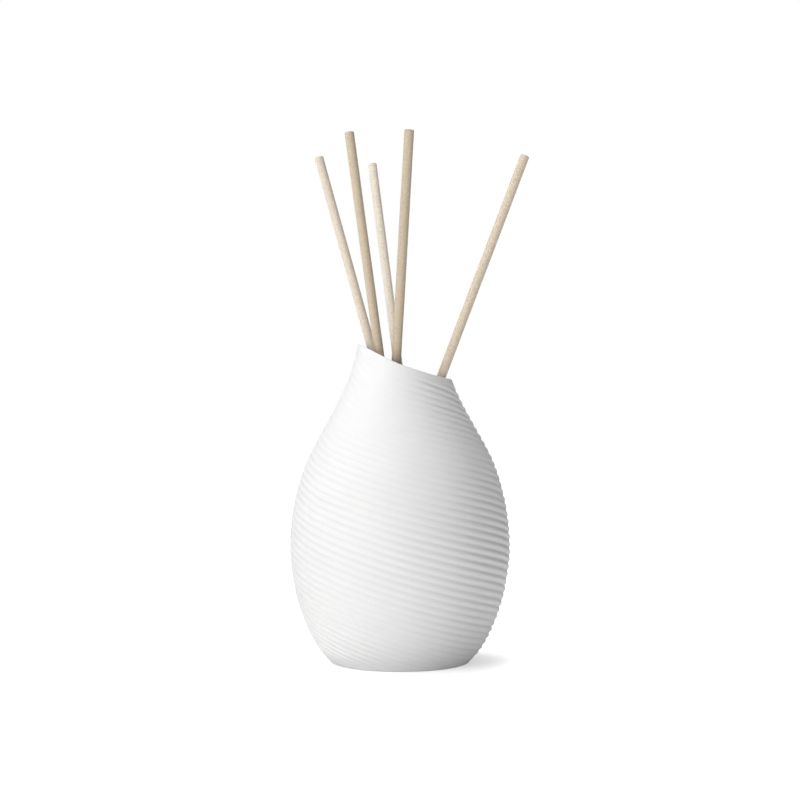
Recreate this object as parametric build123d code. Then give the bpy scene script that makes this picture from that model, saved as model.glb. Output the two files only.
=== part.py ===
from build123d import *
import math
import os

# ---------------------------------------------------------------------------
# Reed diffuser: a ribbed porcelain vase with a slanted, curved mouth, a fill
# of fragrance oil and five loose reeds that stand on the vase's inner floor.
# Millimetres. +Z is up, the origin is the centre of the flat foot, and the
# mouth slopes down from -X (its peak) to +X.
# ---------------------------------------------------------------------------

# vase, outer shape: radius over the rib crests at each height
FOOT_EDGE = [(28.0, 0.0), (28.75, 0.25), (29.3, 0.9)]
OUTER = [(29.3, 0.9), (31.9, 3.4), (34.2, 6.2), (37.6, 12.0), (40.2, 18.0),
         (42.3, 24.0), (43.8, 30.0), (44.9, 36.0), (45.7, 42.0), (45.95, 48.0),
         (45.75, 54.0), (45.15, 60.0), (44.2, 66.0), (42.8, 72.0), (41.0, 78.0),
         (38.7, 84.0), (35.7, 90.0), (32.35, 96.0), (29.0, 102.0),
         (25.8, 108.0), (23.0, 114.0), (20.65, 120.0), (18.95, 126.0),
         (17.55, 132.0), (16.7, 137.0)]

# vase, inside: floor height and the wall thickness measured level
FLOOR_Z = 4.0
INNER_FLOOR_RADIUS = 29.2
INNER = [(30.6, 4.9), (32.6, 7.6), (35.2, 12.0), (37.4, 18.0), (39.3, 24.0),
         (40.8, 30.0), (41.9, 36.0), (42.7, 42.0), (42.95, 48.0),
         (42.75, 54.0), (42.15, 60.0), (41.2, 66.0), (39.85, 72.0),
         (38.1, 78.0), (35.95, 84.0), (33.1, 90.0), (29.9, 96.0),
         (26.75, 102.0), (23.9, 108.0), (21.45, 114.0), (19.4, 120.0),
         (17.75, 126.0), (16.4, 132.0), (15.6, 137.0)]

# mouth: height of the cut across the vase, the same at every Y
MOUTH = [(-30.0, 138.3), (-22.0, 134.35), (-17.1, 131.95), (-11.85, 129.2),
         (-5.7, 126.0), (1.6, 122.75), (7.7, 120.75), (13.9, 118.95),
         (19.0, 117.75), (24.0, 116.85), (30.0, 116.1)]
LIP_ROUND = 0.35

# reeds: diameter, and for each one its foot on the floor (x, y), the way it
# leans (a unit vector) and its own cut length
REED_DIAMETER = 3.9
REED_GAP_FLOOR = 0.05
REEDS = {
    "reed_far_left": ((22.99, -8.74), (-0.26529, 0.12633, 0.95586), 217.5),
    "reed_left": ((8.34, -20.51), (-0.13479, 0.10677, 0.98510), 219.7),
    "reed_centre": ((14.46, -23.63), (-0.12248, 0.26999, 0.95504), 217.0),
    "reed_right": ((-8.42, 23.81), (0.05498, -0.27809, 0.95898), 219.9),
    "reed_far_right": ((-26.07, -8.37), (0.35460, 0.02792, 0.93460), 219.9),
}

# fragrance oil: level of the fill, gap to the wall and gap around each reed
OIL_LEVEL = 46.0
OIL_WALL_GAP = 0.05
OIL_REED_GAP = 0.35

os.makedirs("parts", exist_ok=True)


def revolved(lines):
    """Solid of revolution about Z of a closed outline in the XZ plane."""
    face = make_face([Plane.XZ * e for e in lines])
    return revolve(face, axis=Axis.Z, revolution_arc=360)


def vase():
    top = OUTER[-1][1]
    outer = revolved([
        Line((0, 0), FOOT_EDGE[0]),
        Polyline(*FOOT_EDGE),
        Spline(*OUTER),
        Line(OUTER[-1], (0, top)),
        Line((0, top), (0, 0)),
    ])
    inner = revolved([
        Line((0, FLOOR_Z), (INNER_FLOOR_RADIUS, FLOOR_Z)),
        Line((INNER_FLOOR_RADIUS, FLOOR_Z), INNER[0]),
        Spline(*INNER),
        Line(INNER[-1], (0, top)),
        Line((0, top), (0, FLOOR_Z)),
    ])
    body = outer - inner
    # everything above the mouth's curve goes
    edge = Spline(*MOUTH)
    x0, z0 = MOUTH[0]
    x1, z1 = MOUTH[-1]
    above = make_face([Plane.XZ * e for e in [
        edge,
        Line((x1, z1), (x1, 150)),
        Line((x1, 150), (x0, 150)),
        Line((x0, 150), (x0, z0)),
    ]])
    body = body - extrude(above, amount=60, both=True)
    rim = [e for e in body.edges() if e.bounding_box().min.Z > 110]
    try:
        rounded = fillet(rim, LIP_ROUND)
        if rounded.is_valid:
            body = rounded
    except Exception:
        print("lip left square")
    return body


def reed_line(foot, way):
    """Foot centre and unit direction of a reed that stands on the floor."""
    u = Vector(*way).normalized()
    lift = REED_DIAMETER / 2 * math.sqrt(max(0.0, 1 - u.Z ** 2))
    return Vector(foot[0], foot[1], FLOOR_Z + REED_GAP_FLOOR + lift), u


def reed(foot, way, length, diameter=REED_DIAMETER, start=0.0, soft=0.3):
    base, u = reed_line(foot, way)
    plane = Plane(origin=base + u * start, z_dir=u)
    rod = plane * Cylinder(diameter / 2, length - start,
                           align=(Align.CENTER, Align.CENTER, Align.MIN))
    if soft:
        rod = chamfer(rod.edges().filter_by(GeomType.CIRCLE), soft)
    return rod


def oil():
    top = OIL_LEVEL
    pts = [(r - OIL_WALL_GAP, z) for r, z in INNER if z < top - 3]
    # radius of the inside at the oil's level, between its two neighbours
    below = [p for p in INNER if p[1] < top][-1]
    over = [p for p in INNER if p[1] >= top][0]
    k = (top - below[1]) / (over[1] - below[1])
    r_top = below[0] + k * (over[0] - below[0]) - OIL_WALL_GAP
    fill = revolved([
        Line((0, FLOOR_Z), (INNER_FLOOR_RADIUS - OIL_WALL_GAP, FLOOR_Z)),
        Line((INNER_FLOOR_RADIUS - OIL_WALL_GAP, FLOOR_Z), pts[0]),
        Spline(*pts, (r_top, top)),
        Line((r_top, top), (0, top)),
        Line((0, top), (0, FLOOR_Z)),
    ])
    for foot, way, length in REEDS.values():
        base, u = reed_line(foot, way)
        plane = Plane(origin=base - u * 20, z_dir=u)
        fill -= plane * Cylinder(REED_DIAMETER / 2 + OIL_REED_GAP, length + 20,
                                 align=(Align.CENTER, Align.CENTER, Align.MIN))
    return fill


parts = {"vase_body": vase(), "fragrance_oil": oil()}
for name, (foot, way, length) in REEDS.items():
    parts[name] = reed(foot, way, length)

for name, shape in parts.items():
    solids = shape.solids()
    shape = solids[0] if len(solids) == 1 else shape
    shape.label = name
    export_step(shape, f"parts/{name}.step")
    print(name, len(solids), "solid(s)", round(shape.volume, 1), "mm3")
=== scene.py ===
import math

import bpy
import numpy as np
from mathutils import Matrix, Vector


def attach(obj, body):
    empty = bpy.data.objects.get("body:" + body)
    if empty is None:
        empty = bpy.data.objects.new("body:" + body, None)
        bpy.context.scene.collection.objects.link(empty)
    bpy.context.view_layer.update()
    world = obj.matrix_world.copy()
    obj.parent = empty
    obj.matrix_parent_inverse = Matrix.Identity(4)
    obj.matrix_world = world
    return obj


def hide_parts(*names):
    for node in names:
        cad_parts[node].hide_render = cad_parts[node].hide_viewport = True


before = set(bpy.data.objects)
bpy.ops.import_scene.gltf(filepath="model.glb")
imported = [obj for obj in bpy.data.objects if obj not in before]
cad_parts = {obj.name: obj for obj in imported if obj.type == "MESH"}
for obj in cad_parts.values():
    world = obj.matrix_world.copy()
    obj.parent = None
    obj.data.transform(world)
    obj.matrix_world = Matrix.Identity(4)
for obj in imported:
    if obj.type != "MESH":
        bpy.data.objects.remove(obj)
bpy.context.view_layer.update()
MM = 0.001

# ---------------------------------------------------------------------------
# The vase's own sizes, in millimetres, as in the CAD model
# ---------------------------------------------------------------------------
FOOT_EDGE = [(23.2, 0.75), (23.7, 0.62), (24.3, 0.18), (24.9, 0.0), (28.0, 0.0), (28.75, 0.25), (29.3, 0.9)]
OUTER = [(29.3, 0.9), (31.9, 3.4), (34.2, 6.2), (37.6, 12.0), (40.2, 18.0),
         (42.3, 24.0), (43.8, 30.0), (44.9, 36.0), (45.7, 42.0), (45.95, 48.0),
         (45.75, 54.0), (45.15, 60.0), (44.2, 66.0), (42.8, 72.0), (41.0, 78.0),
         (38.7, 84.0), (35.7, 90.0), (32.35, 96.0), (29.0, 102.0),
         (25.8, 108.0), (23.0, 114.0), (20.65, 120.0), (18.95, 126.0),
         (17.55, 132.0), (16.7, 137.0)]
INNER = [(30.6, 4.9), (32.6, 7.6), (35.2, 12.0), (37.4, 18.0), (39.3, 24.0),
         (40.8, 30.0), (41.9, 36.0), (42.7, 42.0), (42.95, 48.0),
         (42.75, 54.0), (42.15, 60.0), (41.2, 66.0), (39.85, 72.0),
         (38.1, 78.0), (35.95, 84.0), (33.1, 90.0), (29.9, 96.0),
         (26.75, 102.0), (23.9, 108.0), (21.45, 114.0), (19.4, 120.0),
         (17.75, 126.0), (16.4, 132.0), (15.6, 137.0)]
FLOOR_Z = 4.0
MOUTH = [(-30.0, 138.3), (-22.0, 134.35), (-17.1, 131.95), (-11.85, 129.2),
         (-5.7, 126.0), (1.6, 122.75), (7.7, 120.75), (13.9, 118.95),
         (19.0, 117.75), (24.0, 116.85), (30.0, 116.1)]
OIL_LEVEL = 46.0
SKIN = 0.10          # the visible crests stay this far inside the CAD surface

# ribs: soft rounded ribs with rounded grooves between them, wound round the vase as
# a many-start screw. The phase, in ribs, is a smooth function of the angle
# (0 at -X, 90 degrees at the front, 180 at +X) and of the height.
RIB_STARTS = 20
RIB_F = [20.8242, 20.1583, 1.9087, 1.8745, -1.6366, -0.854, -0.5438]
RIB_A = [-0.4814, 0.7872, 0.0353, -0.0275]
RIB_B = [0.2329, -0.0228, 0.7925, -0.0353]
RIB_C = [-0.1659, 0.0163]
RIB_D = [-0.1509, -0.028]
RIB_SHIFT = 0.30
RIB_DEPTH = 0.36
COLUMNS = 384
STEPS = [k / 10 for k in range(10)]

REED_RADIUS = 1.95
REEDS = {
    "reed_far_left": ((22.99, -8.74), (-0.26529, 0.12633, 0.95586), 217.5),
    "reed_left": ((8.34, -20.51), (-0.13479, 0.10677, 0.98510), 219.7),
    "reed_centre": ((14.46, -23.63), (-0.12248, 0.26999, 0.95504), 217.0),
    "reed_right": ((-8.42, 23.81), (0.05498, -0.27809, 0.95898), 219.9),
    "reed_far_right": ((-26.07, -8.37), (0.35460, 0.02792, 0.93460), 219.9),
}


# ---------------------------------------------------------------------------
# Small helpers
# ---------------------------------------------------------------------------
def curve(points, samples=4000):
    """Smooth curve through (r, z) points as a lookup of r by z."""
    p = np.array(points, float)
    z, r = p[:, 1], p[:, 0]
    n = len(z)
    h = np.diff(z)
    a = np.zeros((n, n))
    b = np.zeros(n)
    a[0, 0] = a[-1, -1] = 1.0
    for i in range(1, n - 1):
        a[i, i - 1], a[i, i], a[i, i + 1] = h[i - 1], 2 * (h[i - 1] + h[i]), h[i]
        b[i] = 3 * ((r[i + 1] - r[i]) / h[i] - (r[i] - r[i - 1]) / h[i - 1])
    c = np.linalg.solve(a, b)
    zs = np.linspace(z[0], z[-1], samples)
    k = np.clip(np.searchsorted(z, zs, side="right") - 1, 0, n - 2)
    d = zs - z[k]
    dd = (c[k + 1] - c[k]) / (3 * h[k])
    bb = (r[k + 1] - r[k]) / h[k] - h[k] * (2 * c[k] + c[k + 1]) / 3
    rs = r[k] + bb * d + c[k] * d ** 2 + dd * d ** 3
    return lambda q: np.interp(q, zs, rs)


r_out = curve(OUTER)
r_in = curve(INNER)
_m = curve([(z, x) for x, z in MOUTH])


def mouth_z(x):
    return _m(x)


def smooth(e0, e1, x):
    t = np.clip((x - e0) / (e1 - e0), 0, 1)
    return t * t * (3 - 2 * t)


def lattice_noise(seed, shape, x, y, wrap_x=None):
    """Smooth value noise in 0..1 on a grid of random numbers, periodic in x when asked."""
    rng = np.random.default_rng(seed)
    grid = rng.random(shape)
    nx, ny = shape
    xi, yi = np.floor(x).astype(int), np.floor(y).astype(int)
    fx, fy = x - xi, y - yi
    fx, fy = fx * fx * (3 - 2 * fx), fy * fy * (3 - 2 * fy)
    period = wrap_x or nx
    x0, x1 = xi % period, (xi + 1) % period
    y0, y1 = yi % ny, (yi + 1) % ny
    return ((grid[x0, y0] * (1 - fx) + grid[x1, y0] * fx) * (1 - fy)
            + (grid[x0, y1] * (1 - fx) + grid[x1, y1] * fx) * fy)


def build_mesh(name, verts, faces, mats, face_mat=None, smooth_faces=True):
    mesh = bpy.data.meshes.new(name)
    mesh.from_pydata(verts, [], faces)
    mesh.validate(clean_customdata=False)
    for m in mats:
        mesh.materials.append(m)
    if smooth_faces:
        mesh.polygons.foreach_set("use_smooth", [True] * len(mesh.polygons))
    if face_mat is not None and len(face_mat) == len(mesh.polygons):
        mesh.polygons.foreach_set("material_index", face_mat)
    mesh.update()
    ob = bpy.data.objects.new(name, mesh)
    bpy.context.scene.collection.objects.link(ob)
    return ob


def new_material(name):
    m = bpy.data.materials.new(name)
    m.use_nodes = True
    nt = m.node_tree
    nt.nodes.clear()
    out = nt.nodes.new("ShaderNodeOutputMaterial")
    bsdf = nt.nodes.new("ShaderNodeBsdfPrincipled")
    nt.links.new(bsdf.outputs["BSDF"], out.inputs["Surface"])
    return m, nt, bsdf


def noise_node(nt, coord, scale, detail=4.0, rough=0.55, distortion=0.0):
    n = nt.nodes.new("ShaderNodeTexNoise")
    n.inputs["Scale"].default_value = scale
    n.inputs["Detail"].default_value = detail
    n.inputs["Roughness"].default_value = rough
    n.inputs["Distortion"].default_value = distortion
    nt.links.new(coord, n.inputs["Vector"])
    return n.outputs["Fac"]


def ramp(nt, fac, stops):
    n = nt.nodes.new("ShaderNodeValToRGB")
    el = n.color_ramp.elements
    while len(el) < len(stops):
        el.new(0.5)
    for e, (pos, col) in zip(el, stops):
        e.position = pos
        e.color = (*col, 1.0) if len(col) == 3 else col
    nt.links.new(fac, n.inputs["Fac"])
    return n.outputs["Color"]


def maprange(nt, fac, lo, hi, out_lo, out_hi):
    n = nt.nodes.new("ShaderNodeMapRange")
    n.inputs["From Min"].default_value = lo
    n.inputs["From Max"].default_value = hi
    n.inputs["To Min"].default_value = out_lo
    n.inputs["To Max"].default_value = out_hi
    nt.links.new(fac, n.inputs["Value"])
    return n.outputs["Result"]


def mix(nt, fac, a, b, blend="MIX"):
    n = nt.nodes.new("ShaderNodeMix")
    n.data_type = "RGBA"
    n.blend_type = blend
    for sock, val in ((n.inputs[0], fac), (n.inputs[6], a), (n.inputs[7], b)):
        if hasattr(val, "links"):
            nt.links.new(val, sock)
        elif isinstance(val, (int, float)):
            sock.default_value = val
        else:
            sock.default_value = (*val, 1.0)
    return n.outputs[2]


def bump(nt, height, strength, distance, normal=None):
    n = nt.nodes.new("ShaderNodeBump")
    n.inputs["Strength"].default_value = strength
    n.inputs["Distance"].default_value = distance
    nt.links.new(height, n.inputs["Height"])
    if normal is not None:
        nt.links.new(normal, n.inputs["Normal"])
    return n.outputs["Normal"]


def scaled_coord(nt, scale=(1, 1, 1)):
    tc = nt.nodes.new("ShaderNodeTexCoord")
    mp = nt.nodes.new("ShaderNodeMapping")
    mp.inputs["Scale"].default_value = scale
    nt.links.new(tc.outputs["Object"], mp.inputs["Vector"])
    return mp.outputs["Vector"]


# ---------------------------------------------------------------------------
# Materials
# ---------------------------------------------------------------------------
def porcelain_bisque():
    m, nt, b = new_material("porcelain_bisque")
    co = scaled_coord(nt)
    at = nt.nodes.new("ShaderNodeAttribute")
    at.attribute_name = "groove"
    broad = noise_node(nt, co, 28.0, 3.0, 0.5)
    grain = noise_node(nt, co, 1500.0, 5.0, 0.65)
    col = ramp(nt, broad, [(0.30, (0.842, 0.842, 0.840)), (0.55, (0.862, 0.862, 0.861)), (0.78, (0.850, 0.848, 0.845))])
    speck = ramp(nt, noise_node(nt, co, 900.0, 2.0, 0.5), [(0.22, (0.90, 0.895, 0.885)), (0.34, (1.0, 1.0, 1.0))])
    col = mix(nt, 0.55, col, speck, "MULTIPLY")
    # painted shade: the bisque's colour is darkened towards the bottom of each rib groove, where shade falls
    groove_shade = maprange(nt, at.outputs["Fac"], 0.45, 1.0, 0.0, 0.30)
    col = mix(nt, groove_shade, col, (0.78, 0.775, 0.765))
    nt.links.new(col, b.inputs["Base Color"])
    nt.links.new(maprange(nt, grain, 0.3, 0.75, 0.50, 0.70), b.inputs["Roughness"])
    nt.links.new(bump(nt, grain, 0.30, 0.00006), b.inputs["Normal"])
    b.inputs["IOR"].default_value = 1.5
    b.inputs["Specular IOR Level"].default_value = 0.35
    return m


def porcelain_glaze():
    m, nt, b = new_material("porcelain_glaze")
    co = scaled_coord(nt)
    broad = noise_node(nt, co, 40.0, 3.0, 0.5)
    col = ramp(nt, broad, [(0.3, (0.905, 0.903, 0.894)), (0.7, (0.930, 0.928, 0.920))])
    nt.links.new(col, b.inputs["Base Color"])
    nt.links.new(maprange(nt, noise_node(nt, co, 260.0, 3.0, 0.5), 0.3, 0.7, 0.10, 0.20), b.inputs["Roughness"])
    nt.links.new(bump(nt, noise_node(nt, co, 180.0, 3.0, 0.5), 0.12, 0.0002), b.inputs["Normal"])
    b.inputs["Coat Weight"].default_value = 0.5
    b.inputs["Coat Roughness"].default_value = 0.06
    return m


def foot_bisque():
    m, nt, b = new_material("porcelain_foot")
    co = scaled_coord(nt)
    grain = noise_node(nt, co, 900.0, 6.0, 0.7)
    col = ramp(nt, noise_node(nt, co, 60.0, 4.0, 0.6), [(0.3, (0.74, 0.725, 0.70)), (0.7, (0.81, 0.80, 0.78))])
    nt.links.new(col, b.inputs["Base Color"])
    nt.links.new(maprange(nt, grain, 0.3, 0.7, 0.7, 0.9), b.inputs["Roughness"])
    nt.links.new(bump(nt, grain, 0.5, 0.0001), b.inputs["Normal"])
    return m


def reed_fibre(name, tone, offset):
    """Pressed fibre: a matt, finely speckled reed with faint streaks and darker cut ends."""
    m, nt, b = new_material(name)
    co = nt.nodes.new("ShaderNodeAttribute")
    co.attribute_name = "reed_co"
    end = nt.nodes.new("ShaderNodeAttribute")
    end.attribute_name = "cut_end"

    def mapped(sx, sz):
        mp = nt.nodes.new("ShaderNodeMapping")
        mp.inputs["Location"].default_value = (offset, offset * 0.37, offset * 1.3)
        mp.inputs["Scale"].default_value = (sx, sx, sz)
        nt.links.new(co.outputs["Vector"], mp.inputs["Vector"])
        return mp.outputs["Vector"]

    def shade(k, warm=0.0):
        return (min(1.0, tone[0] * k), min(1.0, tone[1] * k * (1 - 0.5 * warm)), min(1.0, tone[2] * k * (1 - warm)))

    grain = noise_node(nt, mapped(2100.0, 1500.0), 1.0, 3.0, 0.60)
    streak = noise_node(nt, mapped(1500.0, 170.0), 1.0, 3.0, 0.55, 0.2)
    broad = noise_node(nt, mapped(60.0, 30.0), 1.0, 2.0, 0.5)
    pores = noise_node(nt, mapped(2600.0, 1900.0), 1.0, 1.0, 0.5)
    col = ramp(nt, grain, [(0.32, shade(0.80, 0.08)), (0.50, shade(1.0)), (0.68, shade(1.12, -0.06))])
    col = mix(nt, maprange(nt, streak, 0.35, 0.68, 0.0, 0.30), col, shade(0.90, 0.06))
    col = mix(nt, maprange(nt, broad, 0.35, 0.70, 0.0, 0.40), col, shade(1.03, -0.02))
    col = mix(nt, maprange(nt, pores, 0.64, 0.74, 0.0, 0.50), col, shade(0.72, 0.12))
    col = mix(nt, maprange(nt, end.outputs["Fac"], 0.0, 1.0, 0.0, 0.25), col, shade(0.84, 0.06))
    nt.links.new(col, b.inputs["Base Color"])
    nt.links.new(maprange(nt, grain, 0.3, 0.7, 0.80, 0.95), b.inputs["Roughness"])
    n1 = bump(nt, grain, 0.85, 0.00014)
    nt.links.new(bump(nt, streak, 0.25, 0.00006, n1), b.inputs["Normal"])
    b.inputs["Specular IOR Level"].default_value = 0.20
    return m


def oil_liquid():
    m, nt, b = new_material("fragrance_oil_liquid")
    co = scaled_coord(nt)
    col = ramp(nt, noise_node(nt, co, 35.0, 2.0, 0.5), [(0.3, (0.93, 0.80, 0.50)), (0.7, (0.95, 0.84, 0.57))])
    nt.links.new(col, b.inputs["Base Color"])
    b.inputs["Roughness"].default_value = 0.02
    b.inputs["IOR"].default_value = 1.46
    b.inputs["Transmission Weight"].default_value = 0.72
    return m


BISQUE, GLAZE, FOOT = porcelain_bisque(), porcelain_glaze(), foot_bisque()


# ---------------------------------------------------------------------------
# Vase
# ---------------------------------------------------------------------------
def rib_phase(theta, z):
    """Ribs counted up the wall, with straight ends below the foot's edge and above the rim."""
    zc = np.clip(z, 5.0, 122.0)

    def value(t, h):
        u = (h - 64.0) / 60.0
        s = RIB_STARTS / (2 * math.pi) * t
        s = s + sum(c * u ** k for k, c in enumerate(RIB_F))
        s = s + sum(c * u ** k for k, c in enumerate(RIB_A)) * np.cos(t)
        s = s + sum(c * u ** k for k, c in enumerate(RIB_B)) * np.sin(t)
        s = s + sum(c * u ** k for k, c in enumerate(RIB_C)) * np.cos(2 * t)
        return s + sum(c * u ** k for k, c in enumerate(RIB_D)) * np.sin(2 * t)

    slope = (value(theta, zc + 0.5) - value(theta, zc - 0.5))
    return value(theta, zc) + (z - zc) * slope + RIB_SHIFT


def rim_height(theta, radius_of):
    """Height where the mouth's cut meets a wall, by angle."""
    z = np.full_like(theta, 122.0)
    for _ in range(60):
        z = 0.5 * z + 0.5 * mouth_z(-radius_of(z) * np.cos(theta))
    return z


def rib_fade(theta, z, rim):
    """How deep the ribs are: none on the foot's edge, a smooth wedge under the rim, deeper on the flanks."""
    deg = np.degrees(theta) % 360.0
    turn = 180.0 - np.abs(deg - 180.0)
    foot = smooth(1.0, 4.6, z)
    below = rim - z
    front = np.exp(-(((turn - 92.0) / 24.0) ** 2))
    right = smooth(100.0, 145.0, turn)
    wedge_lo = 0.2 + 1.8 * front + 1.4 * right
    wedge_hi = 1.4 + 8.5 * front + 3.2 * right
    middle = 0.78 + 0.84 * (1 - smooth(50.0, 92.0, turn)) + 0.48 * smooth(114.0, 142.0, turn)
    middle = middle + 0.30 * (1 - smooth(12.0, 30.0, z)) * smooth(70.0, 110.0, turn)
    upper = 0.36 + 2.0 * smooth(92.0, 136.0, turn)
    shoulder = smooth(84.0, 102.0, z)
    depth = middle * (1 - shoulder) + upper * shoulder
    return foot * depth * smooth(0, 1, np.clip((below - wedge_lo) / (wedge_hi - wedge_lo), 0, 1))


def make_vase():
    m = COLUMNS
    theta = np.arange(m) * 2 * math.pi / m
    lip_drop = 0.5
    top_out = rim_height(theta, r_out) - lip_drop
    top_in = rim_height(theta, r_in) - lip_drop
    z_lo = OUTER[0][1]
    steps = np.array(STEPS)
    ns = len(steps)
    zs = np.linspace(-8, 150, 3200)
    cols_phase = [rib_phase(np.full_like(zs, t), zs) for t in theta]
    lo_n = int(math.floor(min(np.interp(z_lo, zs, c) for c in cols_phase))) - 1
    hi_n = int(math.ceil(max(np.interp(top_out.max(), zs, c) for c in cols_phase))) + 1
    rows = np.concatenate([n + steps for n in range(lo_n, hi_n)])
    nr = len(rows)
    zz = np.zeros((m, nr))
    for j in range(m):
        assert np.all(np.diff(cols_phase[j]) > 0)
        zz[j] = np.interp(rows, cols_phase[j], zs)
    tt = np.repeat(theta[:, None], nr, 1)
    low = zz < z_lo + 0.06
    high = zz > top_out[:, None] - 0.06
    frac = rows - np.floor(rows)
    rib_no = np.floor(rows).astype(int)
    # how far below its crest each point of a rounded, wave-like rib lies, 0..1
    shape = (0.5 + 0.5 * np.cos(2 * math.pi * frac)) ** 1.12
    # a groove is one line: number it by the nearest whole phase
    groove_no = np.round(rows).astype(int)
    wob = lattice_noise(11, (64, 256), tt / (2 * math.pi) * 16, groove_no[None, :] * 1.0 + 0 * tt, wrap_x=16)
    vary = 0.80 + 0.34 * wob
    body = lattice_noise(5, (64, 64), tt / (2 * math.pi) * 9, zz / 17.0, wrap_x=9)
    rim = (top_out + lip_drop)[:, None]
    fade = rib_fade(tt, zz, rim)
    depth = RIB_DEPTH * fade * shape[None, :] * vary
    rr = r_out(zz) - SKIN - depth - 0.10 * body
    x, y = -rr * np.cos(tt), -rr * np.sin(tt)

    verts, groove = [], []
    vid = np.full((m, nr), -1, int)
    # lower and upper edges of the ribbed wall
    rb = r_out(z_lo) - SKIN
    b_id = np.zeros(m, int)
    t_id = np.zeros(m, int)
    for j in range(m):
        b_id[j] = len(verts)
        verts.append((-rb * math.cos(theta[j]), -rb * math.sin(theta[j]), z_lo))
        groove.append(0.0)
    body_top = lattice_noise(5, (64, 64), theta / (2 * math.pi) * 9, top_out / 17.0, wrap_x=9)
    rt = r_out(top_out) - SKIN - 0.10 * body_top
    for j in range(m):
        t_id[j] = len(verts)
        verts.append((-rt[j] * math.cos(theta[j]), -rt[j] * math.sin(theta[j]), top_out[j]))
        groove.append(0.0)
    vid[low] = np.repeat(b_id[:, None], nr, 1)[low]
    vid[high] = np.repeat(t_id[:, None], nr, 1)[high]
    free = ~(low | high)
    idx = np.argwhere(free)
    start = len(verts)
    vid[free] = start + np.arange(len(idx))
    fx, fy, fz = x[free], y[free], zz[free]
    g = (shape[None, :] * fade)[free]
    verts += list(zip(fx.tolist(), fy.tolist(), fz.tolist()))
    groove += g.tolist()

    faces, fmat = [], []

    def add(*ids):
        u = []
        for i in ids:
            if not u or (u[-1] != i):
                u.append(i)
        if len(u) > 1 and u[0] == u[-1]:
            u.pop()
        if len(set(u)) >= 3:
            faces.append(tuple(u))
            return True
        return False

    shift = RIB_STARTS * ns
    for j in range(m):
        a = vid[j]
        if j + 1 < m:
            b = vid[j + 1]
            ks = range(nr - 1)
            for k in ks:
                if a[k] == a[k + 1] and b[k] == b[k + 1]:
                    continue
                if add(int(a[k]), int(a[k + 1]), int(b[k + 1]), int(b[k])):
                    fmat.append(0)
        else:
            b0 = vid[0]

            def other(k):
                q = k - shift
                if q < 0:
                    return int(b_id[0])
                if q >= nr:
                    return int(t_id[0])
                return int(b0[q])

            for k in range(nr - 1):
                if add(int(a[k]), int(a[k + 1]), other(k + 1), other(k)):
                    fmat.append(0)

    def ring(points, z):
        ids = []
        for j in range(m):
            ids.append(len(verts))
            verts.append((points[j][0], points[j][1], z if np.isscalar(z) else z[j]))
            groove.append(0.0)
        return ids

    def join(lower, upper, mat, flip=False):
        for j in range(m):
            q = (j + 1) % m
            f = (lower[j], upper[j], upper[q], lower[q])
            faces.append(f[::-1] if flip else f)
            fmat.append(mat)

    ct, st = -np.cos(theta), -np.sin(theta)

    # foot: a rounded edge, a standing ring and a shallow hollow inside it
    prev = list(b_id)
    for r, z in reversed(FOOT_EDGE[:-1]):
        r = min(r, r_out(z_lo) - SKIN)
        ids = ring(np.stack([r * ct, r * st], 1), z)
        join(ids, prev, 1 if z < 0.2 or r < 27 else 0)
        prev = ids
    for r in (16.0, 8.0, 2.0):
        ids = ring(np.stack([r * ct, r * st], 1), 0.78)
        join(ids, prev, 1)
        prev = ids
    c = len(verts)
    verts.append((0.0, 0.0, 0.78))
    groove.append(0.0)
    for j in range(m):
        faces.append((c, prev[j], prev[(j + 1) % m]))
        fmat.append(1)

    # lip: a half round from the outer wall over to the inner one
    ri = r_in(top_in)
    outer_p = np.stack([rt * ct, rt * st, top_out], 1)
    inner_p = np.stack([ri * ct, ri * st, top_in], 1)
    mid = (outer_p + inner_p) / 2
    half = (outer_p - inner_p) / 2
    prev = list(t_id)
    for s in np.linspace(0, math.pi, 9)[1:]:
        p = mid + half * math.cos(s) + np.array([0, 0, lip_drop * 0.96]) * math.sin(s)
        ids = []
        for j in range(m):
            ids.append(len(verts))
            verts.append(tuple(p[j]))
            groove.append(0.0)
        join(prev, ids, 0 if s < 2.2 else 2)
        prev = ids

    # inside wall and floor
    levels = 56
    for i in range(1, levels + 1):
        f = i / levels
        z = top_in + (INNER[0][1] - top_in) * f
        r = r_in(z)
        ids = ring(np.stack([r * ct, r * st], 1), z)
        join(prev, ids, 2)
        prev = ids
    for r, z in ((30.0, 4.35), (29.2, 4.06), (28.3, FLOOR_Z), (20.0, FLOOR_Z), (10.0, FLOOR_Z), (2.0, FLOOR_Z)):
        ids = ring(np.stack([r * ct, r * st], 1), z)
        join(prev, ids, 2)
        prev = ids
    c = len(verts)
    verts.append((0.0, 0.0, FLOOR_Z))
    groove.append(0.0)
    for j in range(m):
        faces.append((prev[j], c, prev[(j + 1) % m]))
        fmat.append(2)

    v = np.array(verts) * MM
    ob = build_mesh("vase_ribbed", v.tolist(), faces, [BISQUE, FOOT, GLAZE], fmat)
    # groove depth per point, 0..1, which the bisque material uses to paint shade into the grooves
    at = ob.data.attributes.new("groove", "FLOAT", "POINT")
    if len(ob.data.vertices) == len(groove):
        at.data.foreach_set("value", np.array(groove, np.float32))
    return ob


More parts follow.
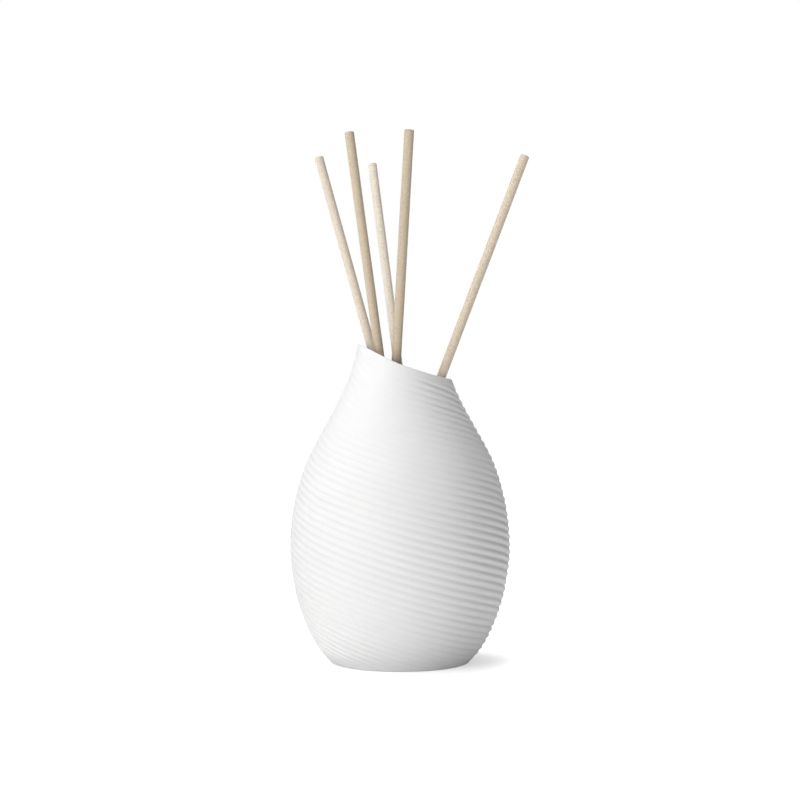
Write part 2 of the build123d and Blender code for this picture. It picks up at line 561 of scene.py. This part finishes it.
# ---------------------------------------------------------------------------
# Reeds and oil
# ---------------------------------------------------------------------------
def make_reed(name, foot, way, length, material, seed, full=0.0):
    u = Vector(way).normalized()
    lift = REED_RADIUS * math.sqrt(max(0.0, 1 - u.z ** 2))
    base = Vector((foot[0], foot[1], FLOOR_Z + 0.05 + lift))
    seg, r = 48, REED_RADIUS
    soft = 0.28
    zs = [0.06, 0.08, 0.14, 0.24, 0.36, 0.50]
    rs = [r - soft, r - 0.20, r - 0.11, r - 0.04, r, r]
    n = int((length - 0.8) / 1.0)
    inner = np.linspace(0.50, length - 0.56, n)[1:-1]
    zs = zs + list(inner) + [length - q for q in (0.56, 0.42, 0.30, 0.20, 0.14, 0.12)]
    rs = rs + [r] * len(inner) + [r, r, r - 0.04, r - 0.11, r - 0.20, r - soft]
    zs, rs = np.array(zs), np.array(rs)
    ang = np.arange(seg) * 2 * math.pi / seg
    zz, aa = np.meshgrid(zs, ang, indexing="ij")
    ridge = lattice_noise(seed, (64, 512), aa / (2 * math.pi) * 14, zz / 26.0, wrap_x=14)
    pit = lattice_noise(seed + 1, (128, 1024), aa / (2 * math.pi) * 24, zz / 2.1, wrap_x=24)
    wave = lattice_noise(seed + 2, (8, 64), aa / (2 * math.pi) * 3, zz / 31.0, wrap_x=3)
    rr = rs[:, None] + full - 0.012 - 0.045 * ridge - 0.030 * pit - 0.05 * wave
    verts = np.stack([rr * np.cos(aa), rr * np.sin(aa), zz], 2).reshape(-1, 3)
    rows = len(zs)
    verts = verts.tolist()
    faces = []
    for i in range(rows - 1):
        for j in range(seg):
            q = (j + 1) % seg
            faces.append((i * seg + j, i * seg + q, (i + 1) * seg + q, (i + 1) * seg + j))
    rng = np.random.default_rng(seed + 3)
    for end, sign in ((0, 1), (rows - 1, -1)):
        prev = [end * seg + j for j in range(seg)]
        z0 = float(zs[end])
        for k, f in enumerate((0.82, 0.62, 0.42, 0.2)):
            ids = []
            dip = rng.random(seg) * 0.05 + 0.02
            for j in range(seg):
                ids.append(len(verts))
                q = (r - soft) * f
                verts.append([q * math.cos(ang[j]), q * math.sin(ang[j]), z0 + sign * float(dip[j])])
            for j in range(seg):
                q = (j + 1) % seg
                f4 = (prev[j], prev[q], ids[q], ids[j])
                faces.append(f4[::-1] if sign > 0 else f4)
            prev = ids
        c = len(verts)
        verts.append([0.0, 0.0, z0 + sign * 0.04])
        for j in range(seg):
            q = (j + 1) % seg
            f3 = (prev[j], prev[q], c)
            faces.append(f3[::-1] if sign > 0 else f3)
    own = np.array(verts)
    axis = np.array(u)
    side = np.cross((0.0, 1.0, 0.0), axis)
    side /= np.linalg.norm(side)
    turn = np.stack([side, np.cross(axis, side), axis], 1)
    ob = build_mesh(name, ((own @ turn.T + np.array(base)) * MM).tolist(), faces, [material])
    co = ob.data.attributes.new("reed_co", "FLOAT_VECTOR", "POINT")
    co.data.foreach_set("vector", (own * MM).astype(np.float32).ravel())
    cut = np.clip(1 - np.minimum(own[:, 2], length - own[:, 2]) / 0.5, 0, 1)
    at = ob.data.attributes.new("cut_end", "FLOAT", "POINT")
    at.data.foreach_set("value", cut.astype(np.float32))
    return ob


def make_oil():
    seg = 160
    prof = [(r - 0.06, z) for r, z in INNER if z < OIL_LEVEL - 2]
    prof = [(0.01, FLOOR_Z + 0.02), (15.0, FLOOR_Z + 0.02), (28.9, FLOOR_Z + 0.04), (30.0, 4.45)] + prof
    wall = float(r_in(OIL_LEVEL)) - 0.06
    men = [(wall, OIL_LEVEL - 0.02), (wall - 0.35, OIL_LEVEL - 0.25), (wall - 0.9, OIL_LEVEL - 0.50),
           (wall - 1.8, OIL_LEVEL - 0.72), (wall - 3.2, OIL_LEVEL - 0.80), (24.0, OIL_LEVEL - 0.80),
           (12.0, OIL_LEVEL - 0.80), (0.01, OIL_LEVEL - 0.80)]
    prof += men
    ang = np.arange(seg) * 2 * math.pi / seg
    verts, faces = [], []
    for r, z in prof:
        for a in ang:
            verts.append((r * math.cos(a) * MM, r * math.sin(a) * MM, z * MM))
    for i in range(len(prof) - 1):
        for j in range(seg):
            q = (j + 1) % seg
            faces.append((i * seg + j, i * seg + q, (i + 1) * seg + q, (i + 1) * seg + j))
    faces.append(tuple(reversed(range(seg))))
    faces.append(tuple(range((len(prof) - 1) * seg, len(prof) * seg)))
    return build_mesh("oil_fill", verts, faces, [oil_liquid()])


vase = make_vase()
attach(vase, "vase")
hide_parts("vase_body")

# each reed's own tone
TONES = {"reed_far_left": (0.785, 0.695, 0.585), "reed_left": (0.640, 0.530, 0.405),
         "reed_centre": (0.880, 0.805, 0.690), "reed_right": (0.605, 0.505, 0.380),
         "reed_far_right": (0.745, 0.638, 0.503)}
for i, (name, (foot, way, length)) in enumerate(REEDS.items()):
    mat = reed_fibre("fibre_" + name, TONES[name], offset=1.7 * i + 0.4)
    full = 0.08 if name in ("reed_left", "reed_right") else 0.03
    ob = make_reed(name + "_fibre", foot, way, length, mat, 100 + 10 * i, full)
    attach(ob, name)
    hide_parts(name)

oil = make_oil()
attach(oil, "vase")
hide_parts("fragrance_oil")


# ---------------------------------------------------------------------------
# Floor, light and camera
# ---------------------------------------------------------------------------
# how strongly the floor glows as light onto the vase, near the foot and far off
FLOOR_GLOW_NEAR, FLOOR_GLOW_FAR = 0.07, 0.35


def floor_material():
    """White floor that glows, though it is no lamp: to the camera it is white, with a painted shadow, a darker ring
    round the foot; it gives back only part of that glow as light, weaker still near the foot.
    """
    m, nt, b = new_material("floor_white")
    b.inputs["Base Color"].default_value = (0.90, 0.90, 0.90, 1)
    b.inputs["Roughness"].default_value = 0.9
    b.inputs["Specular IOR Level"].default_value = 0.1
    tc = nt.nodes.new("ShaderNodeTexCoord")
    ln = nt.nodes.new("ShaderNodeVectorMath")
    ln.operation = "LENGTH"
    nt.links.new(tc.outputs["Object"], ln.inputs[0])
    lp = nt.nodes.new("ShaderNodeLightPath")
    # painted shadow: to the camera the floor glows at 0.45 within 26 mm of the centre, rising to full white by 80 mm, a
    # darker ring round the foot
    camera_glow_painted_shadow = maprange(nt, ln.outputs["Value"], 0.026, 0.080, 0.45, 1.0)
    # the floor's glow as light on the vase: a glowing part that is no lamp standing in for bounce light, weaker near
    # the foot
    bounce_glow = maprange(nt, ln.outputs["Value"], 0.060, 0.200, FLOOR_GLOW_NEAR, FLOOR_GLOW_FAR)
    glow = nt.nodes.new("ShaderNodeMix")
    glow.data_type = "FLOAT"
    nt.links.new(lp.outputs["Is Camera Ray"], glow.inputs[0])
    nt.links.new(bounce_glow, glow.inputs[2])
    nt.links.new(camera_glow_painted_shadow, glow.inputs[3])
    b.inputs["Emission Color"].default_value = (1, 1, 1, 1)
    nt.links.new(glow.outputs[0], b.inputs["Emission Strength"])
    return m


def make_stage():
    """One round floor, far wider than the view, that fades into the white surroundings."""
    seg = 96
    radii = (0.05, 0.12, 0.3, 0.8, 2.0, 6.0, 18.0)
    low = -0.00003       # just under the foot, so that the two flat faces don't share a plane
    verts, faces = [(0.0, 0.0, low)], []
    for r in radii:
        verts += [(r * math.cos(2 * math.pi * k / seg), r * math.sin(2 * math.pi * k / seg), low) for k in range(seg)]
    for k in range(seg):
        faces.append((0, 1 + k, 1 + (k + 1) % seg))
    for i in range(len(radii) - 1):
        a, b = 1 + i * seg, 1 + (i + 1) * seg
        for k in range(seg):
            q = (k + 1) % seg
            faces.append((a + k, b + k, b + q, a + q))
    ob = build_mesh("studio_floor", verts, faces, [floor_material()])
    return ob


make_stage()


def area(name, loc, target, size, power, size_y=None, color=(1, 1, 1)):
    d = bpy.data.lights.new(name, "AREA")
    d.shape = "RECTANGLE" if size_y else "SQUARE"
    d.size = size
    if size_y:
        d.size_y = size_y
    d.energy = power
    d.color = color
    ob = bpy.data.objects.new(name, d)
    ob.location = loc
    ob.rotation_euler = (Vector(target) - Vector(loc)).to_track_quat("-Z", "Y").to_euler()
    bpy.context.scene.collection.objects.link(ob)
    return ob


WORLD_LIGHT = 0.02
area("key_left", (-1.3, -0.9, 1.0), (0, 0, 0.09), 1.2, 5.2)
area("key_front_left", (-0.8, -1.4, 0.8), (0, 0, 0.09), 0.9, 6.3)
area("low_left", (-1.2, -1.2, 0.30), (0, 0, 0.09), 0.6, 6.8)
area("side_left", (-1.6, -0.2, 0.30), (0, 0, 0.09), 0.6, 1.1)
area("top", (-0.2, 0.1, 1.7), (0, 0, 0.09), 1.0, 17.0)
area("fill_right", (1.3, -1.0, 0.8), (0, 0, 0.09), 1.0, 2.3)
area("back_left", (-0.4, 1.6, 0.9), (0, 0, 0.09), 1.0, 2.0)

world = bpy.data.worlds.new("studio")
bpy.context.scene.world = world
world.use_nodes = True
bg = world.node_tree.nodes.get("Background") or world.node_tree.nodes.new("ShaderNodeBackground")
wt = world.node_tree
lp = wt.nodes.new("ShaderNodeLightPath")
wt.links.new(maprange(wt, lp.outputs["Is Camera Ray"], 0.0, 1.0, WORLD_LIGHT, 1.0), bg.inputs["Strength"])
bg.inputs["Color"].default_value = (1, 1, 1, 1)
out = wt.nodes.get("World Output") or wt.nodes.new("ShaderNodeOutputWorld")
wt.links.new(bg.outputs["Background"], out.inputs["Surface"])

cam_data = bpy.data.cameras.new("camera")
cam_data.lens = 76.5
cam_data.sensor_width = 36.0
cam_data.clip_start = 0.01
cam_data.clip_end = 100.0
cam = bpy.data.objects.new("camera", cam_data)
cam.location = (0.0, -0.708, 0.10875)
cam.rotation_euler = (math.radians(90), 0, 0)
bpy.context.scene.collection.objects.link(cam)
bpy.context.scene.camera = cam
bpy.context.scene.view_settings.view_transform = "Standard"
bpy.context.scene.view_settings.look = "None"
